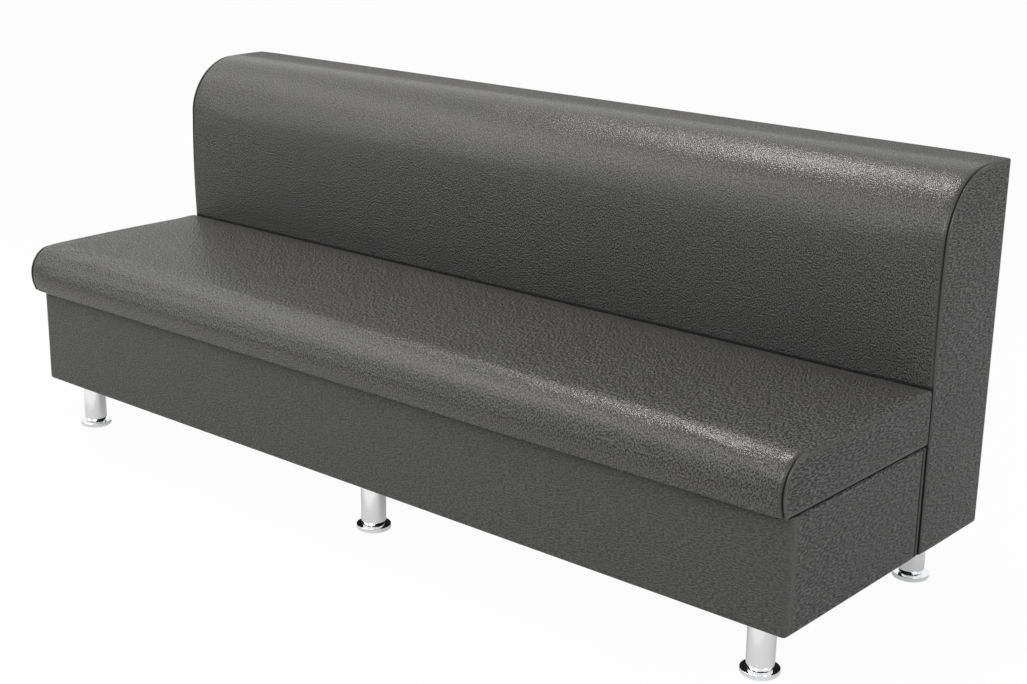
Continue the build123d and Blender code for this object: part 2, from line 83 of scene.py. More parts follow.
# Between the seat's rear and the back's front
CLEARANCE = 0.3 * MM
# How far above and below the seat's top the back's outline has closer points
JOIN_REACH = 7 * MM

# Thickness of the artificial leather
SHEET = 1.2 * MM

# Box
BOX_CORNER = 10 * MM
BOX_FOOT = 8 * MM
BOX_TOP_EDGE = 4 * MM
BOX_RETURN = 30 * MM
# From the cover's face to the inside of the padding
BOX_INNER = 7.2 * MM
# The cover goes on above the box's top in the groove below the seat, where it is painted in shade
BOX_FLANGE = 2.6 * MM
# How uneven the padding is, and over what distance that fades towards the top and bottom
BOX_WAVE = 0.9 * MM
BOX_CALM = 30 * MM

# Rear panel
HEM = 12 * MM
HEM_LIFT = 0.5 * MM
REAR_RIPPLE = 0.25 * MM

# Legs and feet
TUBE_RADIUS = 25 * MM
TUBE_INSIDE = 23 * MM
TUBE_BORE = 5.15 * MM
TUBE_CHAMFER = 2.5 * MM
TUBE_CHAMFER_HEIGHT = 6.5 * MM
TUBE_TOP_WALL = 5 * MM
TUBE_BOTTOM_WALL = 14 * MM
TUBE_EASING = 0.5 * MM
LEG_STUD_LENGTH = 32 * MM
FOOT_STUD_LENGTH = 45 * MM
STUD_RADIUS = 5 * MM
STUD_TIP_RADIUS = 4 * MM
THREAD_DEPTH = 0.45 * MM
THREAD_PITCH = 1.5 * MM
DISC_RADIUS = 35 * MM
DISC_BOTTOM = 1 * MM
DISC_LOW_ROUND = 4 * MM
DISC_TOP_ROUND = 1 * MM
NECK_HEIGHT = 1.5 * MM
NECK_RADIUS = 16.6 * MM
PIVOT_HOLE = 6.3 * MM
GLIDE_RECESS = 29.3 * MM
GLIDE_TOP = 3 * MM
WASHER_INSIDE = 5.3 * MM
WASHER_RADIUS = 24.7 * MM
WASHER_EDGE = 0.4 * MM
TURNED_SIDES = 96
WASHER_SIDES = 72

# How much of the crown the swelling of the covers makes, and the most that it may move a point
SWELL_SHARE = 0.5
SEAT_SWELL_CAP = 4 * MM
BACK_SWELL_CAP = 2 * MM
SWELL_FRAMES = 20
CLOTH = {"quality": 5, "mass": 0.4, "tension_stiffness": 40, "compression_stiffness": 40,
         "shear_stiffness": 30, "bending_stiffness": 6, "vertex_group_mass": "pin",
         "pin_stiffness": 1, "use_pressure": True, "uniform_pressure_force": 4}
# The cover is held this near to an end, and let go over the second distance, in mm
SWELL_FROM, SWELL_FADE = 12, 30

# Puckers: how deep they are, where they begin and end in from the end, over what distances they
# come up and fade, in mm, and how fine they are along the bench and round the cover
SEAT_PUCKER = 0.9 * MM
BACK_PUCKER = 0.5 * MM
PUCKER_FROM, PUCKER_TO = 9, 70
PUCKER_RISE, PUCKER_FALL = 6, 55
PUCKER_ALONG, PUCKER_AROUND = 14, 75

# The edge of an end panel, from the main surface over to the end plane.
# Each step is (distance in from the end, depth below the main surface, bare, dark), the first two
# in mm. bare is the share of the grain that is stretched away, dark the share of painted shade
# that darkens a crease.
SOFT_EDGE = (
    (15.5, 0.0, 0.0, 0.0), (13.5, 0.08, 0.0, 0.0), (11.5, 0.3, 0.1, 0.0), (9.6, 0.8, 0.2, 0.0),
    (7.8, 1.5, 0.3, 0.0), (6.1, 2.5, 0.3, 0.0), (4.6, 3.7, 0.3, 0.0), (3.2, 5.2, 0.3, 0.0),
    (2.0, 7.0, 0.3, 0.0), (1.0, 9.0, 1.0, 0.0), (0.3, 11.4, 1.0, 0.0), (0.0, 14.0, 0.1, 0.0),
)
SHARP_EDGE = (
    (14.0, 0.0, 0.0, 0.0), (10.5, 0.0, 0.0, 0.0), (7.5, 0.0, 0.1, 0.0), (5.4, 0.02, 0.3, 0.0),
    (3.9, 0.1, 0.6, 0.0), (2.8, 0.3, 0.8, 0.0), (1.9, 0.7, 0.8, 0.0), (1.2, 1.2, 0.8, 0.0),
    (0.7, 1.9, 0.8, 0.0), (0.3, 2.9, 1.0, 0.0), (0.05, 4.4, 1.0, 0.0), (0.0, 7.0, 0.1, 0.0),
)
SEWN_EDGE = (
    (15.0, 0.1, 0.1, 0.0), (11.5, 0.3, 0.3, 0.0), (8.0, 0.8, 0.6, 0.0), (5.8, 1.8, 0.9, 0.5),
    (4.7, 5.0, 1.0, 1.0), (2.9, 5.0, 1.0, 1.0), (2.1, 2.4, 1.0, 0.8), (1.2, 0.9, 1.0, 0.0),
    (0.0, 0.8, 1.0, 0.0), (-1.2, 2.2, 1.0, 0.0), (-1.2, 4.8, 1.0, 0.0), (0.0, 8.5, 0.3, 0.0),
)
# Stations from an end panel to the evenly spaced ones along the bench, in mm
NEAR_END = (19.0, 22.0, 26.0, 32.0, 39.0, 47.0, 56.0, 66.0, 77.0, 89.0, 102.0, 116.0, 131.0)
ALONG = 15 * MM
# Rings of an end panel, as shares of the way from its rim to its middle line
PANEL_RINGS = (0.06, 0.14, 0.26, 0.42, 0.6, 0.78, 0.92)
PANEL_BULGE = 1.2 * MM
# The edge's steps from this one on lie on the end panel
PANEL_STEP = 10
# How the grain lies on each stretch of a cover: its length round the cover as a share of the
# leather's own, which draws the pebbles out, and how strongly it shows
SEAT_GRAIN = {"top": (0.42, 1.7), "nose": (0.75, 0.9), "under_nose": (0.75, 0.9), "lip": (0.75, 0.9)}
BACK_GRAIN = {"lower": (0.8, 0.9), "join": (0.8, 0.9), "front": (0.8, 0.9), "roll": (0.9, 0.9),
              "top": (0.8, 1.0)}
# The same along the bench for each cover, and both ways with the strength for the flat panels
SEAT_ALONG, BACK_ALONG = 1.0, 1.15
PANEL_GRAIN = (0.28, 1.1, 2.1)
BOX_FRONT_GRAIN = (0.45, 0.85)
BOX_END_GRAIN = (0.28, 2.0)
BOX_AROUND = 1.1
# How smooth and glossy a stretch is drawn. Below zero it is slack and duller.
SEAT_DRAWN = {"nose": 1.0, "under_nose": 1.0, "lip": 1.0}
BACK_DRAWN = {"roll": 1.0, "top": -1.0, "crest": -1.0}

# Artificial leather: how fine and deep the pebbles are, then the colours of their faces, of the
# valleys between them, of worn patches and of painted crease shade, and how much of that a crease takes
GRAIN_SCALE = 340.0
GRAIN_DEPTH = 2.4 * MM
LEATHER = (0.124, 0.123, 0.121, 1)
LEATHER_DEEP = (0.004, 0.004, 0.004, 1)
LEATHER_WORN = (0.066, 0.064, 0.061, 1)
CREASE_SHADE_COLOUR = (0.002, 0.002, 0.002, 1)
CREASE_SHADE_SHARE = 0.93
# What drawing it smooth takes from the pebbles and from the roughness, and what a crease adds
# to the roughness
DRAWN_FLATTER = 0.78
DRAWN_GLOSS = 0.18
CREASE_ROUGH = 0.45

# The rear edge of the box's ends: a groove, then a rounded strip that turns into the gap.
# Each step is (distance in from the rear, depth, bare, dark), the first two in mm; dark is painted shade.
BOX_REAR_EDGE = (
    (21.0, 0.0, 0.0, 0.0), (18.6, 0.1, 0.2, 0.0), (17.2, 0.6, 0.6, 0.4), (16.4, 2.0, 0.9, 1.0),
    (15.9, 4.4, 1.0, 1.0), (13.9, 4.4, 1.0, 1.0), (13.3, 2.0, 1.0, 1.0), (12.3, 0.7, 1.0, 0.2),
    (9.4, 0.3, 0.7, 0.0), (6.8, 0.6, 0.7, 0.1), (5.2, 2.0, 1.0, 0.9), (3.4, 4.4, 1.0, 1.0),
    (0.2, 7.0, 1.0, 1.0),
)

CORNERS = ("front_left", "front_middle", "front_right", "rear_left", "rear_middle", "rear_right")


def arc(count, centre, radius, low, high, ends=0):
    """Points on an arc between two angles in degrees, without the end unless ends is 1."""
    angles = [math.radians(low + (high - low) * (i / count)) for i in range(count + ends)]
    return [(centre[0] + radius * math.cos(a), centre[1] + radius * math.sin(a)) for a in angles]


def line(count, start, end, bow):
    """Points on a line that bows out in its middle, without the end."""
    wide, tall = end[0] - start[0], end[1] - start[1]
    length = math.hypot(wide, tall)
    rises = [(i / count, bow * 4 * (i / count) * (1 - i / count)) for i in range(count)]
    return [(start[0] + wide * t - tall / length * rise, start[1] + tall * t + wide / length * rise)
            for t, rise in rises]


def outline(steps):
    """Points (y, z) round a closed outline of lines and arcs, with the tag of each one's step."""
    points, tags = [], []
    for tag, make, count, *values in steps:
        points += make(count, *values)
        tags += [tag] * count
    return np.array(points), tags


def normals_of(points):
    """Unit normals of a closed outline that runs clockwise seen with y to the right and z up."""
    along = np.roll(points, -1, axis=0) - np.roll(points, 1, axis=0)
    along /= np.linalg.norm(along, axis=1)[:, None]
    return np.stack([-along[:, 1], along[:, 0]], axis=1)


def smooth_step(t):
    t = np.clip(t, 0, 1)
    return t * t * (3 - 2 * t)


def crown_at(distance):
    """Share of a crown at a distance in from the end."""
    return 1 - (1 - np.minimum(distance / CROWN_RISE, 1)) ** CROWN_POWER


def new_object(name, vertices, faces):
    """A smooth-shaded object. Faces with more than four corners are cut into triangles."""
    mesh = bpy.data.meshes.new(name)
    mesh.from_pydata([tuple(float(c) for c in v) for v in vertices], [], faces)
    made = bmesh.new()
    made.from_mesh(mesh)
    wide = [face for face in made.faces if len(face.verts) > 4]
    bmesh.ops.triangulate(made, faces=wide, ngon_method="BEAUTY")
    bmesh.ops.recalc_face_normals(made, faces=made.faces)
    made.to_mesh(mesh)
    made.free()
    obj = bpy.data.objects.new(name, mesh)
    bpy.context.scene.collection.objects.link(obj)
    mesh.polygons.foreach_set("use_smooth", [True] * len(mesh.polygons))
    return obj


def put_attribute(obj, name, values):
    layer = obj.data.attributes.new(name, "FLOAT", "POINT")
    layer.data.foreach_set("value", np.asarray(values, dtype=np.float32).ravel())


def put_plain(obj, bare, dark, grain):
    """The looks of a piece that is drawn smooth nowhere."""
    put_attribute(obj, "bare", bare)
    put_attribute(obj, "dark", dark)
    put_attribute(obj, "drawn", np.zeros(len(bare)))
    put_attribute(obj, "grain", grain)


def put_sheet(obj, along, around):
    """Where each point lies on the flat leather that covers the piece, in metres."""
    flat = np.stack([np.ravel(along), np.ravel(around), np.zeros(np.size(along))], axis=1)
    layer = obj.data.attributes.new("sheet", "FLOAT_VECTOR", "POINT")
    layer.data.foreach_set("vector", flat.astype(np.float32).ravel())


def ring_faces(rows, count, closed_rows=False):
    """Faces between neighbouring rings of equally many points."""
    faces = []
    for i in range(rows if closed_rows else rows - 1):
        for j in range(count):
            a, b = i * count, (i + 1) % rows * count
            k = (j + 1) % count
            faces.append((a + j, a + k, b + k, b + j))
    return faces


def subdivide(obj):
    """Subdivides the mesh itself, once."""
    modifier = obj.modifiers.new("subdivision", "SUBSURF")
    modifier.levels = modifier.render_levels = 1
    depsgraph = bpy.context.evaluated_depsgraph_get()
    mesh = bpy.data.meshes.new_from_object(obj.evaluated_get(depsgraph), depsgraph=depsgraph)
    old = obj.data
    obj.modifiers.clear()
    obj.data = mesh
    bpy.data.meshes.remove(old)
    mesh.polygons.foreach_set("use_smooth", [True] * len(mesh.polygons))


class Cushion:
    """A padded form: rings of points along the bench, with an end panel at both ends.

    plain and full are its outlines without and with the whole crown. edge_kind and spine are
    functions, and so is the last argument, which gives the painted shade in the gap between seat and
    back; all three are described where they are defined. pole is the point of the outline where an
    end panel's two sides meet. drawn and grain belong to the outline's tags, and scale draws the grain out
    along the bench.
    """

    def __init__(self, name, plain, full, edge_kind, spine, pole, drawn, grain, scale, gap_shade):
        self.name = name
        points, self.tags = outline(plain)
        self.count = len(points)
        self.half = half
        self.plain = points
        self.full = outline(full)[0]
        self.normals = normals_of(points)
        found = np.array([edge_kind(point, tag) for point, tag in zip(points, self.tags)])
        for _ in range(2):
            found = (np.roll(found, 1, axis=0) + 2 * found + np.roll(found, -1, axis=0)) / 4
        self.sewn, self.sharp, self.wide = found.T
        self.spine = spine
        self.pole = pole
        self.drawn = drawn
        self.grain = grain
        self.scale = scale
        self.gap_shade = np.array([gap_shade(point, tag) for point, tag in zip(points, self.tags)])

    def edge(self, step):
        """Distance from the end, depth, bare and painted shade of one step of the edge, at each point."""
        soft, sharp, sewn = (np.array(table[step]) for table in (SOFT_EDGE, SHARP_EDGE, SEWN_EDGE))
        mixed = soft + (sharp - soft) * self.sharp[:, None]
        mixed = mixed + (sewn - mixed) * self.sewn[:, None]
        scale = self.wide * MM
        return mixed[:, 0] * scale, mixed[:, 1] * scale, mixed[:, 2], mixed[:, 3]

    def section(self, distance, crown_share):
        """The outline at a distance in from the end, which may differ from point to point."""
        crown = np.asarray(crown_at(distance) * crown_share)
        if crown.ndim:
            crown = crown[:, None]
        return self.plain + (self.full - self.plain) * crown

    def half_rings(self, side, crown_share):
        """One half's rings from the end panel's middle to the last station near the end.

        Five lists: the rings, how bare they are, their painted shade, whether they lie on the end panel,
        and how far in from the end.
        """
        none = np.zeros(self.count)
        edge = []
        for step in range(len(SOFT_EDGE)):
            distance, depth, bare, dark = self.edge(step)
            flat = self.section(distance, crown_share) - self.normals * depth[:, None]
            # Painted shade: the crease's darkening, with that of the gap where seat and back meet
            gap_shade = self.gap_shade * smooth_step((distance / MM + 0.5) / 2.5)
            edge.append((np.column_stack([side * (self.half - distance), flat]), bare,
                         np.maximum(dark, gap_shade), none + (step >= PANEL_STEP), distance))
        rim = edge[-1][0][:, 1:]
        middle = self.spine(rim)
        across = (2 * self.pole - np.arange(self.count)) % self.count
        middle = (middle + middle[across]) / 2
        panel = []
        for share in PANEL_RINGS:
            x = side * (self.half + PANEL_BULGE * (1 - (1 - share) ** 2))
            panel.append((np.column_stack([none + x, rim + (middle - rim) * share]),
                          none + 0.2 * max(0.0, 1 - share / 0.1), none, none + 1, none))
        inside = []
        for near in NEAR_END:
            distance = near * MM
            flat = self.section(distance, crown_share)
            # The rings near the end carry the gap's painted shade too
            inside.append((np.column_stack([none + side * (self.half - distance), flat]),
                           none + max(0.0, 0.1 * (1 - (near - 14) / 12)), self.gap_shade, none,
                           none + distance))
        return [list(values) for values in zip(*panel[::-1], *edge[::-1], *inside)]

    def build(self, crown_share):
        """Makes the object, with this share of the crown."""
        left = self.half_rings(-1, crown_share)
        right = self.half_rings(1, crown_share)
        inside = self.half - NEAR_END[-1] * MM
        steps = round(2 * inside / ALONG)
        middle = []
        for i in range(1, steps):
            x = -inside + 2 * inside * i / steps
            flat = self.section(self.half - abs(x), crown_share)
            middle.append(np.column_stack([np.full(self.count, x), flat]))
        none = [np.zeros(self.count)] * len(middle)
        away = [self.half - np.abs(ring[:, 0]) for ring in middle]
        # The middle rings carry the painted shade of the gap between seat and back
        between = (middle, none, [self.gap_shade] * len(middle), none, away)
        self.points, self.bare, self.dark, self.panel, self.distance = (
            np.array(a + b + c[::-1]) for a, b, c in zip(left, between, right))
        self.rows = len(self.points)
        faces = ring_faces(self.rows, self.count)
        for start in (0, (self.rows - 1) * self.count):
            faces += self.rungs(start)
        self.obj = new_object(self.name, self.points.reshape(-1, 3), faces)

    def rungs(self, start):
        """Faces across an end panel's last ring, between the points on both sides of its poles."""
        last = self.count // 2
        ahead = [start + (self.pole + k) % self.count for k in range(last + 1)]
        back = [start + (self.pole - k) % self.count for k in range(last + 1)]
        faces = [(ahead[0], ahead[1], back[1]), (ahead[last - 1], ahead[last], back[last - 1])]
        faces += [(ahead[k], ahead[k + 1], back[k + 1], back[k]) for k in range(1, last - 1)]
        return faces

    def pucker(self, amount):
        """Small gathers that run in from the sewn edges and fade out."""
        normal = np.column_stack([np.zeros(self.count), self.normals])
        moved = self.points.copy()
        along = np.concatenate([[0], np.cumsum(np.linalg.norm(np.diff(self.plain, axis=0), axis=1))])
        for i in range(self.rows):
            for j in range(self.count):
                distance = self.distance[i, j] / MM
                if self.sewn[j] < 0.05 or distance < PUCKER_FROM or distance > PUCKER_TO:
                    continue
                place = Vector((self.points[i, j, 0] * PUCKER_ALONG, along[j] * PUCKER_AROUND, 3.1))
                fade = float(smooth_step((distance - PUCKER_FROM) / PUCKER_RISE)
                             * smooth_step((PUCKER_TO - distance) / PUCKER_FALL))
                moved[i, j] += normal[j] * noise.noise(place) * amount * fade * self.sewn[j]
        self.points = moved
        self.obj.data.vertices.foreach_set("co", moved.ravel())

    def pins(self, free):
        """Pins all but the given tags, and lets go of them gradually away from the end seams."""
        loose = np.array([float(tag in free) for tag in self.tags])
        for _ in range(2):
            loose = np.minimum(loose, (np.roll(loose, 1) + loose + np.roll(loose, -1)) / 3)
        away = smooth_step((self.distance / MM - SWELL_FROM) / SWELL_FADE)
        return 1 - away * loose

    def swell(self, free, cap):
        """Blows the free tags up a little with a cloth simulation, by no more than the cap."""
        group = self.obj.vertex_groups.new(name=CLOTH["vertex_group_mass"])
        weights = self.pins(free)
        for i in range(self.rows):
            for j in range(self.count):
                group.add([i * self.count + j], float(weights[i, j]), "REPLACE")
        cloth = self.obj.modifiers.new("cloth", "CLOTH")
        for setting, value in CLOTH.items():
            setattr(cloth.settings, setting, value)
        cloth.settings.effector_weights.gravity = 0
        cloth.collision_settings.use_collision = False
        cloth.point_cache.frame_start = 1
        cloth.point_cache.frame_end = SWELL_FRAMES
        for step in range(1, SWELL_FRAMES + 1):
            bpy.context.scene.frame_set(step)
        depsgraph = bpy.context.evaluated_depsgraph_get()
        blown = self.obj.evaluated_get(depsgraph).data
        after = np.empty(len(blown.vertices) * 3)
        blown.vertices.foreach_get("co", after)
        move = after.reshape(self.points.shape) - self.points
        self.obj.modifiers.clear()
        self.obj.vertex_groups.clear()
        bpy.context.scene.frame_set(1)
        size = np.linalg.norm(move, axis=2, keepdims=True)
        print(f"{self.name}: cloth moved points by up to {size.max() / MM:.1f} mm")
        move *= cap * np.tanh(size / cap) / np.maximum(size, 1e-9)
        for _ in range(2):
            inner = (move[:-2] + 2 * move[1:-1] + move[2:]) / 4
            move[1:-1] = inner * (1 - weights[1:-1, :, None])
            move = (np.roll(move, 1, axis=1) + 2 * move + np.roll(move, -1, axis=1)) / 4
            move *= (1 - weights[:, :, None])
        self.points = self.points + move
        self.obj.data.vertices.foreach_set("co", self.points.ravel())

    def eased(self, values):
        """The values round the outline with their steps made gradual."""
        values = np.array(values)
        for _ in range(3):
            values = (np.roll(values, 1) + 2 * values + np.roll(values, -1)) / 4
        return values

    def done(self):
        """Gives the points what the leather's look needs, and subdivides the piece."""
        put_attribute(self.obj, "bare", self.bare)
        put_attribute(self.obj, "dark", self.dark)
        drawn = self.eased([self.drawn.get(tag, 0.0) for tag in self.tags])
        on_panel = self.panel > 0.5
        put_attribute(self.obj, "drawn", np.where(on_panel, 0.0, drawn))
        share, strength = (self.eased([self.grain.get(tag, (1.0, 1.0))[i] for tag in self.tags])
                           for i in (0, 1))
        put_attribute(self.obj, "grain", np.where(on_panel, PANEL_GRAIN[2], strength))
        steps = np.linalg.norm(np.diff(self.plain, axis=0), axis=1) * share[1:]
        around = np.tile(np.concatenate([[0], np.cumsum(steps)]), (self.rows, 1))
        steps = np.linalg.norm(np.diff(self.points, axis=0), axis=2)
        along = np.concatenate([np.zeros((1, self.count)), np.cumsum(steps, axis=0)])
        along = (along - along[self.rows // 2]) * self.scale
        x, y, z = self.points[:, :, 0], self.points[:, :, 1], self.points[:, :, 2]
        put_sheet(self.obj, np.where(on_panel, y * PANEL_GRAIN[0] + x, along),
                  np.where(on_panel, z * PANEL_GRAIN[1], around))
        subdivide(self.obj)
        return self.obj


# Places of the CAD parts
seat_low, seat_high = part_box("seat_cover")
back_low, back_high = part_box("back_cover")
box_low, box_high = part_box("box_cover")
half = float(seat_high[0])
back_front = float(seat_high[1]) + CLEARANCE


def seat_steps(crown_share):
    """The seat's outline from its lip over the nose and the top, seen from the right end."""
    front = seat_low[1] + SEAT_NOSE_CROWN * (1 - crown_share)
    rear = seat_high[1]
    base = seat_low[2]
    bow = SEAT_EDGE_BOW + SEAT_CROWN * crown_share
    nose_y = front + SEAT_NOSE_RADIUS
    nose_z = SEAT_EDGE_HEIGHT - SEAT_NOSE_RADIUS
    lip_top = base + SEAT_LIP_RADIUS
    drop = nose_z - lip_top
    under_radius = (SEAT_LIP_TUCK ** 2 + drop ** 2) / (2 * SEAT_LIP_TUCK)
    under_angle = math.degrees(math.asin(drop / under_radius))
    shoulder = rear - SEAT_REAR_RADIUS
    lip_y = front + SEAT_LIP_TUCK + SEAT_LIP_RADIUS
    foot = rear - SEAT_REAR_FOOT
    return (
        ("lip", arc, 6, (lip_y, lip_top), SEAT_LIP_RADIUS, 270, 180),
        ("under_nose", arc, 5, (front + under_radius, nose_z), under_radius, 180 + under_angle, 180),
        ("nose", arc, 16, (nose_y, nose_z), SEAT_NOSE_RADIUS, 180, 90),
        ("top", line, 32, (nose_y, SEAT_EDGE_HEIGHT), (shoulder, SEAT_EDGE_HEIGHT), bow),
        ("shoulder", arc, 6, (shoulder, SEAT_EDGE_HEIGHT - SEAT_REAR_RADIUS), SEAT_REAR_RADIUS, 90, 0),
        ("rear", line, 6, (rear, SEAT_EDGE_HEIGHT - SEAT_REAR_RADIUS), (rear, base + SEAT_REAR_FOOT), 0),
        ("foot", arc, 4, (foot, base + SEAT_REAR_FOOT), SEAT_REAR_FOOT, 0, -90),
        ("bottom", line, 29, (foot, base), (lip_y, base), 0),
    )


def seat_edge(point, tag):
    """How the end's edge is made at a point of the outline: sewn, sharp and width.

    Sewn is 1 where the seam shows as a crease with a bead and 0 where it is a soft fold,
    and sharp is 1 where the fold is a narrow one.
    """
    nose_end = seat_low[1] + SEAT_NOSE_CROWN + SEAT_NOSE_RADIUS
    if tag in ("lip", "under_nose"):
        return 1.0, 0.0, 1.0
    if tag in ("nose", "top"):
        # The crease ends 16 mm behind the nose, and the fold narrows near the back
        along = point[0] - nose_end
        return 1 - smooth_step((along + 34 * MM) / (50 * MM)), smooth_step((along - 0.34) / 0.06), 1.0
    return 0.0, 1.0, 1.0


def seat_gap_shade(point, tag):
    """Painted shade at a point, where it lies in the gap between the seat and the back."""
    return float(smooth_step((point[0] - seat_high[1] + 9 * MM) / (3 * MM))) if tag != "bottom" else 0.0


def seat_spine(rim):
    """For each point of the end panel's rim, the point of its middle line that it runs to."""
    low, high = rim.min(axis=0), rim.max(axis=0)
    reach = (high[1] - low[1]) / 2
    y = np.clip(rim[:, 0], low[0] + reach, high[0] - reach)
    return np.column_stack([y, np.full(len(rim), (low[1] + high[1]) / 2)])


def back_steps(crown_share):
    """The back's outline from its front bottom edge over the roll and down the rear."""
    front = back_front
    rear = back_high[1] - SHEET
    base = back_low[2]
    top = back_high[2] - BACK_CROWN * (1 - crown_share)
    bow = BACK_END_BOW + (BACK_BOW - BACK_END_BOW) * crown_share
    centre_y = front + BACK_ROLL_RADIUS
    centre_z = top - BACK_ROLL_RADIUS
    rear_y = rear - BACK_REAR_RADIUS
    rear_z = top - BACK_REAR_RADIUS
    foot = BACK_FOOT_RADIUS
    low_z = base + foot
    # The seat's top meets the front between these heights
    join_low, join_high = SEAT_EDGE_HEIGHT - JOIN_REACH, SEAT_EDGE_HEIGHT + JOIN_REACH
    return (
        ("heel", arc, 4, (front + foot, low_z), foot, 270, 180),
        ("lower", line, 14, (front, low_z), (front, join_low), 0),
        ("join", line, 6, (front, join_low), (front, join_high), 0),
        ("front", line, 16, (front, join_high), (front, centre_z), bow),
        ("roll", arc, 22, (centre_y, centre_z), BACK_ROLL_RADIUS, 180, 90),
        ("top", line, 6, (centre_y, top), (rear_y, top), 0),
        ("crest", arc, 6, (rear_y, rear_z), BACK_REAR_RADIUS, 90, 0),
        ("rear", line, 42, (rear, rear_z), (rear, low_z), 0),
        ("foot", arc, 4, (rear - foot, low_z), foot, 0, -90),
        ("bottom", line, 12, (rear - foot, base), (front + foot, base), 0),
    )


def back_edge(point, tag):
    """As seat_edge: strongest on the roll, weaker down the front and narrower towards the seat."""
    centre_y = back_front + BACK_ROLL_RADIUS
    roll_low = back_high[2] - BACK_ROLL_RADIUS
    if tag in ("heel", "lower", "join", "front"):
        up = smooth_step((point[1] - SEAT_EDGE_HEIGHT) / (roll_low - SEAT_EDGE_HEIGHT))
        return 0.45 + 0.39 * up, 0.0, 0.6 + 0.4 * up
    if tag in ("roll", "top"):
        up = smooth_step((point[1] - roll_low) / 0.03)
        along = smooth_step((point[0] - centre_y + 30 * MM) / (60 * MM))
        return (0.84 + 0.16 * up) * (1 - 0.9 * along), along, 1.0
    return 0.0, 1.0, 1.0


def back_gap_shade(point, tag):
    """Painted shade as for the seat, on the back's front where the seat meets it."""
    if tag not in ("heel", "lower", "join"):
        return 0.0
    return float(smooth_step((SEAT_EDGE_HEIGHT + 4.5 * MM - point[1]) / (3 * MM)))


def back_spine(rim):
    """As seat_spine, with an upright middle line."""
    low, high = rim.min(axis=0), rim.max(axis=0)
    reach = (high[0] - low[0]) / 2
    z = np.clip(rim[:, 1], low[1] + reach, high[1] - reach)
    return np.column_stack([np.full(len(rim), (low[0] + high[0]) / 2), z])


# The seat's pole lies on the nose, and the back's below it
seat = Cushion("seat_cushion", seat_steps(0), seat_steps(1), seat_edge, seat_spine, 14,
               SEAT_DRAWN, SEAT_GRAIN, SEAT_ALONG, seat_gap_shade)
back = Cushion("back_cushion", back_steps(0), back_steps(1), back_edge, back_spine, -6,
               BACK_DRAWN, BACK_GRAIN, BACK_ALONG, back_gap_shade)
seat.build(SWELL_SHARE)
back.build(SWELL_SHARE)
seat.swell(("nose", "top"), SEAT_SWELL_CAP)
back.swell(("front", "roll"), BACK_SWELL_CAP)
seat.pucker(SEAT_PUCKER)
back.pucker(BACK_PUCKER)
seat_cushion = seat.done()
back_cushion = back.done()


def rear_panel():
    """The leather sheet behind the back, with a hem and a slight bow between its fixings."""
    low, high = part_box("back_rear_cover")
    outside = high[1]
    xs = np.concatenate([[-half + 3 * MM, -half + 6 * MM, -half + HEM],
                         np.linspace(-half + 60 * MM, half - 60 * MM, 48),
                         [half - HEM, half - 6 * MM, half - 3 * MM]])
    zs = np.concatenate([[low[2] + 2 * MM, low[2] + 5 * MM, low[2] + HEM],
                         np.linspace(low[2] + 50 * MM, high[2] - 50 * MM, 18),
                         [high[2] - HEM, high[2] - 4 * MM, high[2] - 1 * MM]])
    vertices, faces, bare = [], [], []
    for layer in (0, 1):
        for z in zs:
            for x in xs:
                edge = min(x - xs[0], xs[-1] - x, z - zs[0], zs[-1] - z)
                lift = float(smooth_step(edge / HEM)) * HEM_LIFT
                ripple = noise.noise(Vector((x * 5, z * 7, 1.7))) * REAR_RIPPLE
                y = outside - 0.7 * MM + lift + ripple if layer == 0 else outside - SHEET
                vertices.append((x, y, z))
                bare.append(0.0 if edge > 4 * MM else 0.6)
    wide, tall = len(xs), len(zs)
    for layer in (0, 1):
        start = layer * wide * tall
        for i in range(tall - 1):
            for j in range(wide - 1):
                a = start + i * wide + j
                faces.append((a, a + 1, a + wide + 1, a + wide))
    rim = ([(0, j) for j in range(wide)] + [(i, wide - 1) for i in range(1, tall)]
           + [(tall - 1, j) for j in range(wide - 2, -1, -1)] + [(i, 0) for i in range(tall - 2, 0, -1)])
    for n, (i, j) in enumerate(rim):
        k, m = rim[(n + 1) % len(rim)]
        a, b = i * wide + j, k * wide + m
        faces.append((a, b, b + wide * tall, a + wide * tall))
    obj = new_object("back_rear_panel", vertices, faces)
    put_plain(obj, bare, np.zeros(len(vertices)), np.ones(len(vertices)))
    placed = np.array(vertices)
    put_sheet(obj, placed[:, 0], placed[:, 2])
    subdivide(obj)
    return obj


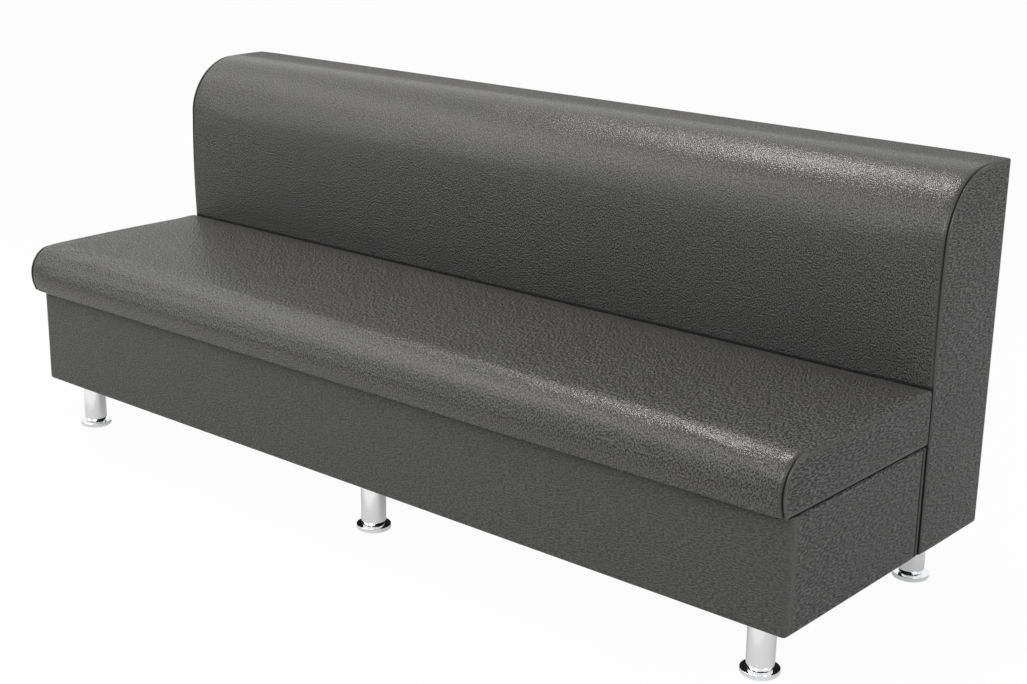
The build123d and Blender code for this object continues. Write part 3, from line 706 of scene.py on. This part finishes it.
def box_piece():
    """The box's padded cover: a channel that runs round the two ends and the front."""
    front, rear = float(box_low[1]), float(box_high[1])
    base, top = float(box_low[2]), float(box_high[2])
    wide = float(box_high[0])

    # The channel's section: (distance out from the cover's face, height)
    inner = BOX_INNER
    flange = top + BOX_FLANGE
    section = [(-inner, flange), (-inner + 0.9 * MM, flange), (-inner + 0.9 * MM, top + 0.5 * MM),
               (-inner + 1.4 * MM, top)]
    section += arc(5, (-BOX_TOP_EDGE, top - BOX_TOP_EDGE), BOX_TOP_EDGE, 90, 0)
    section += line(14, (0.0, top - BOX_TOP_EDGE), (0.0, base + BOX_FOOT), 0)
    section += arc(7, (-BOX_FOOT, base + BOX_FOOT), BOX_FOOT, 0, -90)
    for i in range(4):
        section.append((-BOX_FOOT - (BOX_RETURN - BOX_FOOT) * i / 3, base))
    section += [(-BOX_RETURN, base + SHEET), (-inner - 2 * MM, base + SHEET), (-inner, base + 3 * MM),
                (-inner, (base + top) / 2), (-inner, top - 3 * MM)]

    # Stations round the plan, from the left end to the right one: (kind, side, share or step)
    stations = [("end", -1, step) for step in reversed(range(len(BOX_REAR_EDGE)))]
    runs = np.linspace(0, 1, 26)[1:]
    stations += [("side", -1, t) for t in runs]
    stations += [("corner", -1, t) for t in np.linspace(0, 1, 10)[:-1]]
    stations += [("front", 0, t) for t in np.linspace(0, 1, 101)]
    stations += [("corner", 1, t) for t in np.linspace(0, 1, 10)[1:]]
    stations += [("side", 1, t) for t in runs[:-1][::-1]]
    stations += [("end", 1, step) for step in range(len(BOX_REAR_EDGE))]

    def place(kind, side, value, out):
        """Plan position at a station, out from the cover's face, and its normal."""
        inset = max(0.0, -out)
        radius = max(BOX_CORNER - inset, 0.3 * MM)
        reach = inset + radius
        corner = (wide - reach, front + reach)
        start = rear - BOX_REAR_EDGE[0][0] * MM
        if kind == "side":
            y = start + (corner[1] - start) * value
            return (side * (wide + out), y), (side, 0.0)
        if kind == "corner":
            a = value * math.pi / 2 if side < 0 else (1 - value) * math.pi / 2
            normal = (side * math.cos(a), -math.sin(a))
            return (side * corner[0] + normal[0] * radius, corner[1] + normal[1] * radius), normal
        x = -corner[0] + 2 * corner[0] * value
        return (x, front - out), (0.0, -1.0)

    vertices, bare, dark = [], [], []
    for kind, side, value in stations:
        for out, z in section:
            visible = out > -BOX_FOOT - 0.1 * MM
            if kind == "end":
                distance, depth, b, d = BOX_REAR_EDGE[value]
                out -= depth * MM if visible else 0.0
                vertices.append((side * (wide + out), rear - distance * MM, z))
                bare.append(b)
                # Painted shade in the rear groove and the gap, and on the flange under the seat
                dark.append(1.0 if z >= top else d)
                continue
            (x, y), normal = place(kind, side, value, out)
            if visible:
                wave = noise.noise(Vector((x * 4.2, y * 4.2, z * 6.5))) * BOX_WAVE
                calm = min(1.0, (top - z) / BOX_CALM, (z - base) / BOX_CALM)
                x -= normal[0] * abs(wave) * calm
                y -= normal[1] * abs(wave) * calm
            vertices.append((x, y, z))
            bare.append(0.55 if kind == "corner" else 0.0)
            # Painted shade on the flange under the seat and on the inner faces
            dark.append(1.0 if z >= top or out < -inner + 1.5 * MM else 0.0)
    rows, count = len(stations), len(section)
    faces = ring_faces(rows, count)
    faces.append(tuple(range(count)))
    faces.append(tuple(range((rows - 1) * count, rows * count)))
    obj = new_object("box_panel", vertices, faces)
    lie = np.array([BOX_END_GRAIN if kind in ("end", "side") else BOX_FRONT_GRAIN
                    for kind, _, _ in stations])
    put_plain(obj, bare, dark, np.repeat(lie[:, 1], count))
    placed = np.array(vertices).reshape(rows, count, 3)
    middle = count // 3
    runs = np.linalg.norm(np.diff(placed[:, middle, :2], axis=0), axis=1) * lie[1:, 0]
    along = np.tile(np.concatenate([[0], np.cumsum(runs)])[:, None], (1, count))
    heights = np.linalg.norm(np.diff(np.array(section), axis=0), axis=1)
    around = np.tile(np.concatenate([[0], np.cumsum(heights)]), (rows, 1))
    put_sheet(obj, along, around * BOX_AROUND)
    subdivide(obj)
    return obj


def lathe(name, profile, place):
    """A turned piece from its profile of (radius, height), which starts and ends on the axis."""
    segments = TURNED_SIDES
    vertices, faces = [(place[0], place[1], profile[0][1])], []
    for radius, z in profile[1:-1]:
        vertices += [(x, y, z) for x, y in arc(segments, place, radius, 0, 360)]
    vertices.append((place[0], place[1], profile[-1][1]))
    rings = len(profile) - 2
    for j in range(segments):
        k = (j + 1) % segments
        faces.append((0, 1 + k, 1 + j))
        for i in range(rings - 1):
            a, b = 1 + i * segments, 1 + (i + 1) * segments
            faces.append((a + j, a + k, b + k, b + j))
        a = 1 + (rings - 1) * segments
        faces.append((a + j, a + k, len(vertices) - 1))
    obj = new_object(name, vertices, faces)
    obj.data.set_sharp_from_angle(angle=math.radians(28))
    return obj


def rounded(profile, radius):
    """The profile with its corners eased by a small radius where there is room."""
    steps = 3
    eased = [profile[0]]
    for before, at, after in zip(profile, profile[1:], profile[2:]):
        into = (Vector(before) - Vector(at))
        out = (Vector(after) - Vector(at))
        room = min(radius, into.length * 0.45, out.length * 0.45)
        if room < 0.05 * MM or abs(into.normalized().dot(out.normalized())) > 0.999:
            eased.append(at)
            continue
        start, end = Vector(at) + into.normalized() * room, Vector(at) + out.normalized() * room
        for i in range(steps + 1):
            t = i / steps
            point = start * (1 - t) ** 2 + Vector(at) * 2 * t * (1 - t) + end * t ** 2
            eased.append(tuple(point))
    eased.append(profile[-1])
    return eased


def thread(low, high):
    """Profile points of a threaded length of stud, whose turns are rings."""
    root = STUD_RADIUS - THREAD_DEPTH
    turn = ((root, 0.15), (STUD_RADIUS, 0.5), (root, 0.85))
    turns = range(int((high - low) / THREAD_PITCH))
    return [(radius, low + THREAD_PITCH * (i + share)) for i in turns for radius, share in turn]


def leg_pieces(corner):
    """The chrome tube and the foot disc of one leg."""
    low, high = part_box(f"leg_tube_{corner}")
    place = ((low[0] + high[0]) / 2, (low[1] + high[1]) / 2)
    bottom, tip = float(low[2]), float(high[2])
    top = tip - LEG_STUD_LENGTH
    ceiling, ledge = top - TUBE_TOP_WALL, bottom + TUBE_BOTTOM_WALL
    outer = [
        (TUBE_INSIDE, ceiling), (TUBE_INSIDE, ledge), (TUBE_BORE, ledge), (TUBE_BORE, bottom),
        (TUBE_RADIUS - TUBE_CHAMFER, bottom), (TUBE_RADIUS, bottom + TUBE_CHAMFER_HEIGHT),
        (TUBE_RADIUS, top), (STUD_RADIUS, top),
    ]
    profile = [(0.0, ceiling)] + rounded(outer, TUBE_EASING) + thread(top + 1 * MM, tip - 1 * MM)
    profile += [(STUD_TIP_RADIUS, tip), (0.0, tip)]
    tube = lathe(f"leg_tube_turned_{corner}", profile, place)
    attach(tube, "bench")
    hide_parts(f"leg_tube_{corner}")

    # The disc: pivot hole, recess for the glide, rounded rim, neck and stud
    disc_top = bottom - NECK_HEIGHT
    low_centre = (DISC_RADIUS - DISC_LOW_ROUND, DISC_BOTTOM + DISC_LOW_ROUND)
    top_centre = (DISC_RADIUS - DISC_TOP_ROUND, disc_top - DISC_TOP_ROUND)
    rim = arc(6, low_centre, DISC_LOW_ROUND, -90, 0, 1) + arc(3, top_centre, DISC_TOP_ROUND, 0, 90, 1)
    stud_top = bottom + FOOT_STUD_LENGTH
    profile = [(0.0, PIVOT_HOLE), (PIVOT_HOLE, PIVOT_HOLE), (PIVOT_HOLE, GLIDE_TOP),
               (GLIDE_RECESS, GLIDE_TOP), (GLIDE_RECESS, 1.3 * MM), (GLIDE_RECESS + 0.3 * MM, DISC_BOTTOM),
               *rim, (NECK_RADIUS + 0.4 * MM, disc_top), (NECK_RADIUS, disc_top + 0.2 * MM),
               (NECK_RADIUS, bottom), (STUD_RADIUS - 0.4 * MM, bottom)]
    profile += thread(bottom + 0.3 * MM, stud_top - 1 * MM)
    profile += [(STUD_TIP_RADIUS, stud_top), (0.0, stud_top)]
    disc = lathe(f"foot_disc_turned_{corner}", profile, place)
    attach(disc, f"{corner}_foot")
    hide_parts(f"foot_disc_{corner}")
    return tube, disc


def washers():
    """The six black washers above the legs, turned round."""
    low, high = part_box("leg_washers")
    vertices, faces = [], []
    flat, edge = WASHER_RADIUS - WASHER_EDGE, WASHER_EDGE
    profile = [(WASHER_INSIDE, low[2]), (flat, low[2]), (WASHER_RADIUS, low[2] + edge),
               (WASHER_RADIUS, high[2] - edge), (flat, high[2]), (WASHER_INSIDE, high[2])]
    for corner in CORNERS:
        tube_low, tube_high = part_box(f"leg_tube_{corner}")
        place = ((tube_low[0] + tube_high[0]) / 2, (tube_low[1] + tube_high[1]) / 2)
        start = len(vertices)
        for radius, z in profile:
            vertices += [(x, y, z) for x, y in arc(WASHER_SIDES, place, radius, 0, 360)]
        faces += [tuple(start + v for v in face)
                  for face in ring_faces(len(profile), WASHER_SIDES, closed_rows=True)]
    obj = new_object("leg_washers_turned", vertices, faces)
    obj.data.set_sharp_from_angle(angle=math.radians(30))
    return obj


def put_node(tree, kind, inputs=None, **settings):
    """A new node with its settings. Its inputs are plain values or sockets of other nodes."""
    node = tree.nodes.new(kind)
    for name, value in settings.items():
        setattr(node, name, value)
    for name, value in (inputs or {}).items():
        if isinstance(value, bpy.types.NodeSocket):
            tree.links.new(value, node.inputs[name])
        else:
            node.inputs[name].default_value = value
    return node


class Material:
    """A node material that is put together step by step."""

    def __init__(self, name):
        self.material = bpy.data.materials.new(name)
        self.material.use_nodes = True
        self.shader = self.material.node_tree.nodes["Principled BSDF"]
        self.place = self.put("ShaderNodeTexCoord").outputs["Object"]

    def put(self, kind, inputs=None, **settings):
        return put_node(self.material.node_tree, kind, inputs, **settings)

    def set(self, **values):
        for name, value in values.items():
            self.shader.inputs[name.replace("_", " ")].default_value = value

    def link(self, name, value):
        self.material.node_tree.links.new(value, self.shader.inputs[name])

    def math(self, operation, first, second, clamp=False):
        inputs = {0: first, 1: second}
        return self.put("ShaderNodeMath", inputs, operation=operation, use_clamp=clamp).outputs[0]

    def attribute(self, name, output="Fac"):
        return self.put("ShaderNodeAttribute", attribute_name=name).outputs[output]

    def scaled(self, vector, scale):
        return self.put("ShaderNodeVectorMath", {0: vector, 1: scale}, operation="MULTIPLY").outputs[0]

    def noise(self, vector, scale, detail):
        inputs = {"Vector": vector, "Scale": scale, "Detail": detail}
        return self.put("ShaderNodeTexNoise", inputs).outputs["Fac"]

    def mixed(self, share, first, second):
        return self.put("ShaderNodeMix", {0: share, 6: first, 7: second}, data_type="RGBA").outputs[2]

    def ranged(self, value, low, high, to_low, to_high):
        inputs = {"Value": value, "From Min": low, "From Max": high, "To Min": to_low, "To Max": to_high}
        return self.put("ShaderNodeMapRange", inputs).outputs[0]

    def bump(self, height, strength, distance):
        inputs = {"Height": height, "Strength": strength, "Distance": distance}
        self.link("Normal", self.put("ShaderNodeBump", inputs).outputs["Normal"])


def leather(name, strength, depth):
    """Dark artificial leather with pebbles, smooth where the attribute bare says so, and darkened with
    painted shade in creases and gaps.

    strength is how steep the pebbles look, and depth how much darker the valleys between them are.
    """
    made = Material(name)
    bare, dark, drawn, grain = (made.attribute(word) for word in ("bare", "dark", "drawn", "grain"))
    sheet = made.attribute("sheet", "Vector")
    grains = made.noise(sheet, GRAIN_SCALE, 1.0)
    pebbles = made.ranged(grains, 0.3, 0.7, 0.0, 1.0)
    fine = made.noise(made.place, 700.0, 2.0)
    height = made.math("ADD", pebbles, made.math("MULTIPLY", fine, 0.05))
    wide = made.noise(made.place, 9.0, 3.0)
    uneven = made.ranged(wide, 0.3, 0.7, 0.75, 1.1)
    shown = made.math("MULTIPLY", made.math("SUBTRACT", 1.0, bare), made.math("MULTIPLY", uneven, grain))
    flatter = made.math("SUBTRACT", 1.0, made.math("MULTIPLY", drawn, DRAWN_FLATTER))
    made.bump(made.math("MULTIPLY", made.math("MULTIPLY", height, shown), flatter), strength, GRAIN_DEPTH)

    valley = made.math("MULTIPLY", made.ranged(grains, 0.42, 0.58, 0.5, -0.5), shown)
    valley = made.math("ADD", made.math("MULTIPLY", valley, depth), 0.55, clamp=True)
    colour = made.mixed(valley, LEATHER, LEATHER_DEEP)
    colour = made.mixed(made.ranged(wide, 0.35, 0.65, 0.0, 0.2), colour, LEATHER_WORN)
    # Painted shade: creases and the gaps between parts are darkened nearly to black
    colour = made.mixed(made.math("MULTIPLY", dark, CREASE_SHADE_SHARE), colour, CREASE_SHADE_COLOUR)
    made.link("Base Color", colour)
    rough = made.ranged(fine, 0.3, 0.7, 0.34, 0.42)
    rough = made.math("SUBTRACT", rough, made.math("MULTIPLY", drawn, DRAWN_GLOSS))
    rough = made.math("ADD", rough, made.math("MULTIPLY", dark, CREASE_ROUGH), clamp=True)
    made.link("Roughness", rough)
    made.set(Specular_IOR_Level=0.34)
    return made.material


def chrome():
    made = Material("chrome_plate")
    made.set(Metallic=1.0)
    smudge = made.noise(made.place, 60.0, 3.0)
    made.link("Roughness", made.ranged(smudge, 0.35, 0.75, 0.035, 0.09))
    tone = made.noise(made.place, 14.0, 2.0)
    made.link("Base Color", made.mixed(tone, (0.86, 0.87, 0.88, 1), (0.91, 0.91, 0.92, 1)))
    made.bump(made.noise(made.place, 35.0, 1.0), 0.02, 0.5 * MM)
    return made.material


def two_tone(name, colours, scale, rough, bump_strength, stretch=(1, 1, 1), metallic=0.0):
    """A material of two colours, mixed by noise that can be drawn out along one direction."""
    made = Material(name)
    place = made.scaled(made.place, stretch)
    pattern = made.noise(place, scale, 5.0)
    made.link("Base Color", made.mixed(made.ranged(pattern, 0.3, 0.7, 0, 1), *colours))
    made.link("Roughness", made.ranged(pattern, 0.3, 0.7, rough[0], rough[1]))
    made.set(Metallic=metallic)
    made.bump(pattern, bump_strength, 0.3 * MM)
    return made.material


def paint(obj, material):
    obj.data.materials.clear()
    obj.data.materials.append(material)


back_rear = rear_panel()
box_panel = box_piece()
tubes_and_discs = [leg_pieces(corner) for corner in CORNERS]
leg_washers = washers()

# Looks
seat_leather = leather("seat_leather", 1.0, 0.9)
back_leather = leather("back_leather", 0.9, 0.8)
box_leather = leather("box_leather", 0.9, 0.55)
paint(seat_cushion, seat_leather)
paint(back_cushion, back_leather)
paint(back_rear, box_leather)
paint(box_panel, box_leather)
chrome_plate = chrome()
for tube, disc in tubes_and_discs:
    paint(tube, chrome_plate)
    paint(disc, chrome_plate)
black_plastic = two_tone("black_plastic", ((0.012, 0.012, 0.012, 1), (0.02, 0.02, 0.02, 1)), 300,
                         (0.45, 0.6), 0.2)
paint(leg_washers, black_plastic)

# Hidden pieces
plywood = two_tone("plywood", ((0.60, 0.44, 0.27, 1), (0.42, 0.28, 0.15, 1)), 14, (0.6, 0.75), 0.25,
                   stretch=(0.6, 6, 6))
cloth = two_tone("dust_cloth", ((0.010, 0.010, 0.010, 1), (0.022, 0.022, 0.022, 1)), 500,
                 (0.85, 0.95), 0.6)
zinc = two_tone("zinc_plate", ((0.55, 0.56, 0.58, 1), (0.66, 0.66, 0.65, 1)), 60, (0.28, 0.42), 0.1,
                metallic=1.0)
foam = two_tone("cut_foam", ((0.72, 0.66, 0.48, 1), (0.62, 0.56, 0.40, 1)), 700, (0.9, 1.0), 0.8)
looks = {"plywood": plywood, "dust_cloth": cloth, "zinc_plated_steel": zinc, "washer": black_plastic,
         "glide": black_plastic, "foam": foam, "chrome": chrome_plate, "artificial_leather": box_leather}
slots = {part["node"]: part["material_slot"] for part in frame["record"]["subparts"]}
for node, obj in frame["nodes"].items():
    paint(obj, looks[slots[node]])

# What each piece rides on and stands for
for piece, replaced in (
    (seat_cushion, ("seat_cover", "seat_foam", "seat_left_end_panel", "seat_right_end_panel")),
    (back_cushion, ("back_cover", "back_foam", "back_end_padding", "back_left_end_panel",
                    "back_right_end_panel")),
    (back_rear, ("back_rear_cover",)),
    (box_panel, ("box_cover", "box_padding")),
    (leg_washers, ("leg_washers",)),
):
    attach(piece, "bench")
    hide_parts(*replaced)

# Floor: rough white, and nearly pure white to the camera
FLOOR_SEEN = 0.97
FLOOR_MIRRORED = 0.35
bpy.ops.mesh.primitive_plane_add(size=60, location=(0, 0, 0))
floor = bpy.context.object
floor.name = "floor"
pale = bpy.data.materials.new("pale_floor")
pale.use_nodes = True
tree = pale.node_tree
path = put_node(tree, "ShaderNodeLightPath").outputs
glow = put_node(tree, "ShaderNodeEmission", {"Strength": 1.0}).outputs[0]
rough_white = tree.nodes["Principled BSDF"]
rough_white.inputs["Base Color"].default_value = (0.8, 0.8, 0.8, 1)
rough_white.inputs["Roughness"].default_value = 0.9
rough_white.inputs["Specular IOR Level"].default_value = 0.0
seen = put_node(tree, "ShaderNodeMath", {0: path["Is Camera Ray"], 1: FLOOR_SEEN},
                operation="MULTIPLY").outputs[0]
share = put_node(tree, "ShaderNodeMath", {0: path["Is Glossy Ray"], 1: FLOOR_MIRRORED, 2: seen},
                 operation="MULTIPLY_ADD").outputs[0]
blend = put_node(tree, "ShaderNodeMixShader", {0: share, 1: rough_white.outputs[0], 2: glow})
tree.links.new(blend.outputs[0], tree.nodes["Material Output"].inputs["Surface"])
floor.data.materials.append(pale)

# World: white behind the bench, softer as a light
world = bpy.data.worlds.new("studio")
bpy.context.scene.world = world
world.use_nodes = True
tree = world.node_tree
tree.nodes.clear()
path = put_node(tree, "ShaderNodeLightPath").outputs
soft = put_node(tree, "ShaderNodeBackground", {"Color": (1.0, 0.99, 0.98, 1), "Strength": 0.3})
white = put_node(tree, "ShaderNodeBackground", {"Color": (1.0, 1.0, 1.0, 1), "Strength": 1.0})
looked_at = path["Is Camera Ray"]
for ray in ("Is Glossy Ray", "Is Transmission Ray"):
    looked_at = put_node(tree, "ShaderNodeMath", {0: looked_at, 1: path[ray]},
                         operation="MAXIMUM").outputs[0]
blend = put_node(tree, "ShaderNodeMixShader", {0: looked_at, 1: soft.outputs[0], 2: white.outputs[0]})
put_node(tree, "ShaderNodeOutputWorld", {"Surface": blend.outputs[0]})

# Square lamps: name, place and width in metres, watts and colour
WHITE = (1.0, 1.0, 1.0)
WARM = (1.0, 0.975, 0.94)
LAMPS = (
    ("overhead", (-0.4, 0.22, 3.0), 0.75, 37, WARM),
    ("left_high", (-1.5, -1.6, 2.6), 1.2, 19, WARM),
    ("left_low", (-2.6, -2.2, 1.8), 1.2, 14, WHITE),
    ("left_end", (-2.4, -0.4, 2.6), 1.2, 9, WHITE),
    ("front", (0.6, -2.6, 2.2), 1.2, 25, WHITE),
    ("right_end", (3.4, -0.8, 1.6), 1.2, 36, WHITE),
)
LAMPS_AIM = Vector((0.0, 0.0, 0.45))
for name, place, width, power, colour in LAMPS:
    light = bpy.data.lights.new(name, "AREA")
    light.shape = "SQUARE"
    light.size = width
    light.energy = power
    light.color = colour
    lamp = bpy.data.objects.new(name, light)
    bpy.context.scene.collection.objects.link(lamp)
    lamp.location = place
    lamp.rotation_euler = (LAMPS_AIM - Vector(place)).to_track_quat("-Z", "Y").to_euler()

# Camera
yaw, pitch, roll = (math.radians(a) for a in (CAMERA_YAW, CAMERA_PITCH, CAMERA_ROLL))
right = Vector((math.cos(yaw), math.sin(yaw), 0))
forward = Vector((-math.sin(yaw) * math.cos(pitch), math.cos(yaw) * math.cos(pitch), -math.sin(pitch)))
up = right.cross(forward)
image_right = right * math.cos(roll) + up * math.sin(roll)
image_up = up * math.cos(roll) - right * math.sin(roll)
camera_data = bpy.data.cameras.new("camera")
camera_data.lens = CAMERA_LENS
camera_data.sensor_width = CAMERA_SENSOR
camera_data.sensor_fit = "HORIZONTAL"
camera = bpy.data.objects.new("camera", camera_data)
bpy.context.scene.collection.objects.link(camera)
turned = Matrix((image_right, image_up, -forward)).transposed().to_4x4()
camera.matrix_world = Matrix.Translation(Vector(CAMERA_PLACE)) @ turned
bpy.context.scene.camera = camera
bpy.context.scene.view_settings.view_transform = "Standard"
